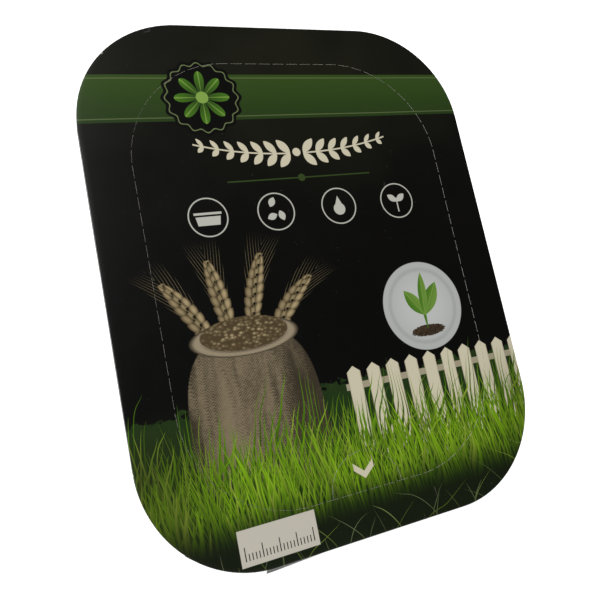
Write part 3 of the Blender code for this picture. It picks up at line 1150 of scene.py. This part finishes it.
def paint_blades(sheet, seed, pitch, base, height, width, slant, curl, dark, light):
    """A row of grass blades: one blade in each cell of a row, all leaning alike."""
    up = sheet.y - base
    sway = wander(sheet.x * 0.04 + sheet.y * 0.016 + seed * 7.3) - 0.5
    bent = sheet.x + up * slant + up * up * (slant * curl) + sway * 14.0 + seed * 3.7
    cell = (bent / pitch).floor()
    first, second, third = randoms(cell + seed * 517.0)
    local = bent - (cell + 0.5) * pitch
    tuft = wander(cell * 0.16 + seed * 3.1).ramp(0.30, 0.70) * 0.45 + 0.55
    rise = up / ((first * 0.50 + 0.50) * height * tuft)
    tip = (third - 0.5) * (pitch * 0.8)
    away = (local - tip * rise * rise).size()
    half = (1.0 - rise.most(0.0) * rise.most(0.0)) * (second * 0.5 + 0.5) * width
    along = rise.most(0.0).ramp(-0.1, 0.95)
    lit = along * (second * 0.5 + 0.5) * (1.0 - (away / (half + 0.05)) * 0.35)
    colour = mix(lit, dark, mix(third.ramp(0.55, 1.0), light, GRASS_STRAW))
    sheet.paint(away.below(half, 0.06) * rise.ramp(1.0, 0.985), colour)


GRASS_LAYERS = 16
GRASS_SEED = 11
# The slant and curl of each layer of loose stems
STEM_LAYERS = ((0.35, 0.09), (-0.6, 0.05), (0.15, -0.2), (-0.2, 0.16))


def paint_grass(sheet):
    """Tufts of grass over the foot of the lid, laid from back to front, and loose pale stems."""
    rng = random.Random(GRASS_SEED)
    for layer in range(GRASS_LAYERS):
        nearness = layer / (GRASS_LAYERS - 1)
        slant = (0.05 + 0.16 * rng.random()) * (1 if layer % 2 else -1)
        light = Vector(GRASS_MID).lerp(Vector(GRASS_BRIGHT), min(1.0, 0.30 + nearness))
        dark = Vector(GRASS_DARK).lerp(Vector(GRASS_MID), 0.22 * nearness)
        sheet.stamp(paint_blades, seed=layer + 1.0, pitch=rng.uniform(1.4, 2.8),
                    base=-80.0 - 24.0 * nearness, height=rng.uniform(30.0, 44.0) - 6.0 * nearness,
                    width=rng.uniform(0.36, 0.78), slant=slant, curl=0.014,
                    dark=tuple(dark), light=tuple(light))
    edge = sheet.x.ramp(-48.0, -84.0) * 0.62 + sheet.x.ramp(60.0, 88.0) * 0.25
    sheet.paint(edge * sheet.y.ramp(-44.0, -70.0), OLIVE_SHADE)
    sheet.paint(sheet.y.ramp(-84.0, -105.0) * 0.92, SOIL_SHADE)
    for layer, (slant, curl) in enumerate(STEM_LAYERS):
        sheet.stamp(paint_blades, seed=31.0 + layer, pitch=15.0 + 4.0 * layer, base=-117.0,
                    height=30.0 - 3.0 * layer, width=0.30, slant=slant, curl=curl,
                    dark=GRASS_DARK, light=STEM_PALE)


ARROW_PLACE = (0.0, -89.0)


def paint_arrow(sheet):
    """A chevron that points at the thumb tab."""
    across, along = sheet.away(ARROW_PLACE)
    across = across.size()
    sheet.paint((along - across * 0.85).size().below(1.5) * across.below(4.6), CREAM)


PALE_DISC = (46.0, -24.0)
DISC_RADIUS = 20.3
# Each seed leaf's direction in degrees, its length and its half width
SEEDLING = ((58.0, 17.0, 3.4), (124.0, 15.0, 3.1), (84.0, 20.0, 2.2))


def paint_disc(sheet):
    """A pale disc with a shaded edge and a seedling on it."""
    away = length_of(*sheet.away(PALE_DISC))
    groove = (away - DISC_RADIUS + 3.5).size().ramp(1.6, 0.2) * 0.3
    shade = away.ramp(6.0, DISC_RADIUS) * 0.35 + groove
    sheet.paint(away.below(DISC_RADIUS, 0.15), mix(shade, PALE, PALE_SHADE))
    foot = (PALE_DISC[0], PALE_DISC[1] - 11.5)
    right, up = sheet.away(foot)
    crumbs = mottle(sheet.place, 1400.0, 3.0, 0.7)
    heap = length_of(right / 9.0, up / 2.6) + (crumbs - 0.5) * 0.5
    sheet.paint(heap.ramp(1.02, 0.94), mix(crumbs.ramp(0.3, 0.7), SOIL_DARK, SOIL_LIGHT))
    sheet.leaf((foot[0], foot[1] + 0.5), 91.0, 16.0, 0.75, LEAF, LEAF)
    for degrees, length, half_width in SEEDLING:
        sheet.leaf((foot[0], foot[1] + 7.0), degrees, length, half_width, LEAF, LEAF_VEIN)


LABEL_LOW, LABEL_HIGH = (-57.0, -110.0), (-25.0, -96.5)
LABEL_TICKS = ((1.4, 2.6), (7.0, 5.2))  # pitch and height


def paint_label(sheet):
    """A blank cream panel with even ruler ticks along its foot."""
    sheet.paint(sheet.block(LABEL_LOW, LABEL_HIGH), LABEL)
    for pitch, height in LABEL_TICKS:
        tick = ((sheet.x - LABEL_LOW[0] - 2.0) / pitch).from_middle()
        near = tick.ramp(0.5 - 0.26 / pitch, 0.5 - 0.12 / pitch)
        within = sheet.block((LABEL_LOW[0] + 1.6, LABEL_LOW[1] + 2.0),
                             (LABEL_HIGH[0] - 1.6, LABEL_LOW[1] + 2.0 + height))
        sheet.paint(near * within, BLACK)


def from_corner(x, y):
    """How far places in millimetres lie past the corners' centres, across and along."""
    return [part.size() - centre * 1000.0 for part, centre in ((x, CORNER_X), (y, CORNER_Y))]


def unfolded(x, y, z):
    """Where the folded card's places lay in the flat card: the print runs on down the skirt."""
    down = ((LID_TOP * 1000.0 - 0.6) - z).most(0.0) / (LID_CORNER_RADIUS * 1000.0)
    flat = []
    for part, beyond in zip((x, y), from_corner(x, y)):
        flat.append(part + beyond.most(0.0) * part.math("SIGN") * down)
    return flat


def paint_wear(sheet, height):
    """Print worn at the fold, cracked at notches, creased by a flap, scuffed and specked."""
    corner_x, corner_y = from_corner(sheet.x, sheet.y)
    outside = length_of(corner_x.most(0.0), corner_y.most(0.0)) + corner_x.most(corner_y).least(0.0)
    inset = LID_CORNER_RADIUS * 1000.0 - outside
    rubbed = mottle(sheet.place, 130.0, 4.0, 0.7)
    on_top = (height - LID_TOP * 1000.0).ramp(-1.4, -0.4)
    sheet.paint(on_top * inset.ramp(0.75, 0.25) * rubbed.ramp(0.40, 0.72) * 0.05, WORN)
    at_notch = (corner_x - corner_y).size().ramp(0.85, 0.55) * corner_x.ramp(0.0, 1.0) * on_top
    sheet.paint(at_notch * inset.ramp(0.9, 0.6) * sheet.y.ramp(-60.0, 90.0) * 0.9, WORN)
    steepest = math.radians(TOP_CORNER_NOTCHES[-1])
    aside = corner_x * math.sin(steepest) - corner_y * math.cos(steepest)
    leg = aside.size().below(0.21, 0.07) * inset.ramp(2.0, 1.9) * on_top
    foot = (inset - 1.9).size().below(0.21, 0.07) * aside.ramp(0.0, 0.2) * aside.ramp(3.8, 1.0)
    sheet.paint(leg.most(foot) * sheet.x.ramp(-40.0, -50.0) * sheet.y.ramp(40.0, 50.0) * 0.12, WORN)
    streaks = mottle(stretched(sheet.place, 1.0, 0.12, 1.0), 900.0, 2.0)
    sheet.paint(streaks.ramp(0.70, 0.78) * rubbed.ramp(0.55, 0.70) * 0.10, WORN)
    specks = mottle(sheet.place, 1300.0, 1.0)
    sheet.paint(specks.ramp(0.80, 0.84) * 0.25, WORN)


def print_material(name, motifs):
    """The lid's print. Its foot has a material of its own, and both match where they meet."""
    made, shader, place = new_material(name)
    x, y, z = [part * 1000.0 for part in parts_of(place)]
    sheet = Sheet(*unfolded(x, y, z), BLACK, place)
    for motif in motifs:
        motif(sheet)
    paint_wear(sheet, z)
    feed_inputs(shader, {
        "Base Color": mix(mottle(place, 2600.0, 2.0) * 0.02, sheet.colour, (0.05, 0.05, 0.045)),
        "Roughness": mottle(place, 90.0, 4.0) * 0.16 + 0.32,
        "Specular IOR Level": 0.11,
    })
    relief(shader, mottle(place, 900.0), 0.03 * MM, 0.5)
    return made


def raw_card_material():
    made, shader, place = new_material("raw_card")
    fibres = mottle(place, 1800.0, 4.0, 0.6)
    feed_inputs(shader, {
        "Base Color": mix(fibres.ramp(0.3, 0.7), (0.52, 0.50, 0.46), (0.70, 0.68, 0.63)),
        "Roughness": 0.85,
    })
    relief(shader, fibres, 0.05 * MM, 0.6)
    return made


def tray_material():
    """Black thermoformed plastic of slightly uneven tone and gloss."""
    made, shader, place = new_material("tray_plastic")
    clouds = mottle(place, 38.0)
    flow = mottle(stretched(place, 1.0, 1.0, 0.12), 260.0, 3.0, 0.6)
    feed_inputs(shader, {
        "Base Color": mix(clouds.ramp(0.25, 0.8), (0.010, 0.010, 0.011), (0.020, 0.020, 0.021)),
        "Roughness": clouds * 0.14 + flow * 0.10 + 0.20,
        "Specular IOR Level": 0.5,
    })
    relief(shader, flow + mottle(place, 1500.0, 2.0) * 0.3, 0.06 * MM, 0.5)
    return made


def soil_film_material():
    """Crumbly dark soil behind clear film, with cloudy crimped seals at both ends; on the seals the
    crimp's ridges get painted light and its grooves painted shade.
    """
    made, shader, place = new_material("soil_film")
    y = parts_of(place)[1] * 1000.0
    crumbs = mottle(place, 420.0, 6.0, 0.75)
    soil = mix(crumbs.ramp(0.38, 0.66), (0.018, 0.011, 0.007), (0.115, 0.070, 0.040))
    soil = mix(mottle(place, 900.0, 2.0).ramp(0.68, 0.74), soil, (0.42, 0.35, 0.25))
    seal_start = (SOIL_BAG_SIZE[1] / 2 - SEAL_WIDTH) * 1000.0
    on_seal = y.size().ramp(seal_start - 0.6, seal_start + 0.6)
    crimp = (y * 4.4).math("SINE")
    # Painted light and shade of the crimp: the seal film is lighter on each ridge and darker in
    # each groove, after the same sine as its bump.
    film = mix(crimp * 0.5 + 0.5, (0.42, 0.43, 0.43), (0.62, 0.63, 0.62))
    feed_inputs(shader, {
        "Base Color": mix(on_seal, soil, film),
        "Roughness": on_seal * 0.22 + crumbs * 0.12 + 0.12,
        "Coat Weight": 0.8,
        "Coat Roughness": 0.08,
    })
    wrinkles = mottle(stretched(place, 1.0, 0.35, 1.0), 170.0, 4.0, 0.6, 1.2)
    relief(shader, wrinkles * 2.0 + crumbs * 0.5 + crimp * on_seal * 0.7, 0.25 * MM, 0.6)
    return made


def sachet_paper_material():
    """Bleached kraft paper with fibres, soft creases and crimped ends."""
    made, shader, place = new_material("sachet_paper")
    fibres = mottle(stretched(place, 1.0, 0.4, 1.0), 2400.0, 4.0, 0.6)
    paper = mix(fibres.ramp(0.35, 0.7), (0.50, 0.44, 0.34), (0.66, 0.60, 0.49))
    feed_inputs(shader, {
        "Base Color": mix(mottle(place, 60.0) * 0.5, paper, (0.50, 0.42, 0.31)),
        "Roughness": 0.82,
    })
    from_middle = (parts_of(place)[1] * 1000.0 - SACHET_PLACE[1] * 1000.0).size()
    half = SACHET_SIZE[1] * 500.0
    crimp = (from_middle * 5.0).math("SINE") * from_middle.ramp(half - 7.0, half - 6.5)
    creases = mottle(place, 120.0, 4.0, 0.6, 1.5)
    relief(shader, creases * 1.6 + fibres * 0.4 + crimp * 0.6, 0.2 * MM, 0.6)
    return made


NET_PITCH = 1.6  # millimetres between threads


def net_material():
    """White knitted net: round threads both ways, with painted shade in the openings between them
    and along the threads' sides.
    """
    made, shader, place = new_material("white_net")
    waver = mottle(place, 90.0, 2.0) * 0.7
    threads = []
    for part in parts_of(place)[:2]:
        threads.append(((part * 1000.0 + waver) / NET_PITCH).from_middle().ramp(0.30, 0.10))
    thread = threads[0].most(threads[1])
    yarn = mottle(place, 4000.0, 2.0)
    white = mix(yarn, (0.52, 0.55, 0.50), (0.74, 0.76, 0.71))
    # Painted shade: the openings between the threads are dark grey-green, and each thread darkens
    # towards its sides.
    feed_inputs(shader, {"Base Color": mix(thread, (0.085, 0.095, 0.075), white), "Roughness": 0.6})
    relief(shader, thread + yarn * 0.15, 0.25 * MM, 0.8)
    return made


# The floor, lights and camera. The camera was fitted to the photo in lengths of the lid.

FLOOR_GAP = 0.2 * MM
# Each light's place, width and power
LIGHTS = {"key": ((-0.60, 0.68, 1.15), 0.8, 15.6), "fill": ((0.1, -1.2, 0.9), 0.9, 7.0)}
WORLD_STRENGTH = 0.18
CAMERA_SHIFT = Vector((-0.0018, 0.0002, -0.0007))
LID_MIDDLE = Vector((0.0, 0.0, LID_TOP))
CAMERA_PLACE = (Vector((-0.4536, -0.1999, 1.0024)) + CAMERA_SHIFT) * LID_LENGTH + LID_MIDDLE
CAMERA_AIM = (Vector((-0.0541, -0.0579, 0.0)) + CAMERA_SHIFT) * LID_LENGTH + LID_MIDDLE
CAMERA_UP = Vector((0.140, 0.971, 0.193))
CAMERA_LENS = 35.15
SENSOR = 36.0


def add_camera():
    data = bpy.data.cameras.new("camera")
    data.lens = CAMERA_LENS
    data.sensor_width = SENSOR
    data.clip_start = 0.01
    camera = link_object("camera", data)
    back = (CAMERA_PLACE - CAMERA_AIM).normalized()
    right = CAMERA_UP.cross(back).normalized()
    turn = Matrix((right, back.cross(right), back)).transposed().to_4x4()
    camera.matrix_world = Matrix.Translation(CAMERA_PLACE) @ turn
    bpy.context.scene.camera = camera


def add_floor():
    builder = bmesh.new()
    bmesh.ops.create_grid(builder, x_segments=4, y_segments=4, size=3.0)
    made, shader, place = new_material("pale_floor")
    feed_inputs(shader, {
        "Base Color": mix(mottle(place, 6.0), (0.84, 0.84, 0.84), (0.88, 0.88, 0.88)),
        "Roughness": 0.9,
        "Specular IOR Level": 0.1,
        "Emission Color": (1.0, 1.0, 1.0),
        "Emission Strength": 0.75,
    })
    floor = new_object("floor", builder, [made])
    floor.location.z = cad_box[0][2] - FLOOR_GAP


def add_light(name, place, size, power):
    """A round light that shines on the lid's middle."""
    data = bpy.data.lights.new(name, "AREA")
    data.shape = "DISK"
    data.size = size
    data.energy = power
    light = link_object(name, data)
    light.location = place
    light.rotation_euler = (LID_MIDDLE - Vector(place)).to_track_quat("-Z", "Y").to_euler()


def add_lights():
    for name, settings in LIGHTS.items():
        add_light(name, *settings)
    bpy.context.scene.view_settings.view_transform = "Standard"
    world = bpy.data.worlds.new("studio")
    world.use_nodes = True
    background = world.node_tree.nodes["Background"]
    background.inputs["Color"].default_value = (1.0, 1.0, 1.0, 1.0)
    background.inputs["Strength"].default_value = WORLD_STRENGTH
    bpy.context.scene.world = world


add_camera()
add_floor()
add_lights()
head_motifs = [paint_field, paint_belt, paint_sprig, paint_rule, paint_icons, paint_disc,
               paint_ears, paint_sack]
foot_motifs = [paint_field, paint_disc, paint_sack, paint_grass, paint_label, paint_arrow]
make_lid([print_material("printed_card", head_motifs), raw_card_material(),
          print_material("printed_card_foot", foot_motifs)])
make_tray([tray_material()])
make_contents([soil_film_material()], [sachet_paper_material()], [net_material()])
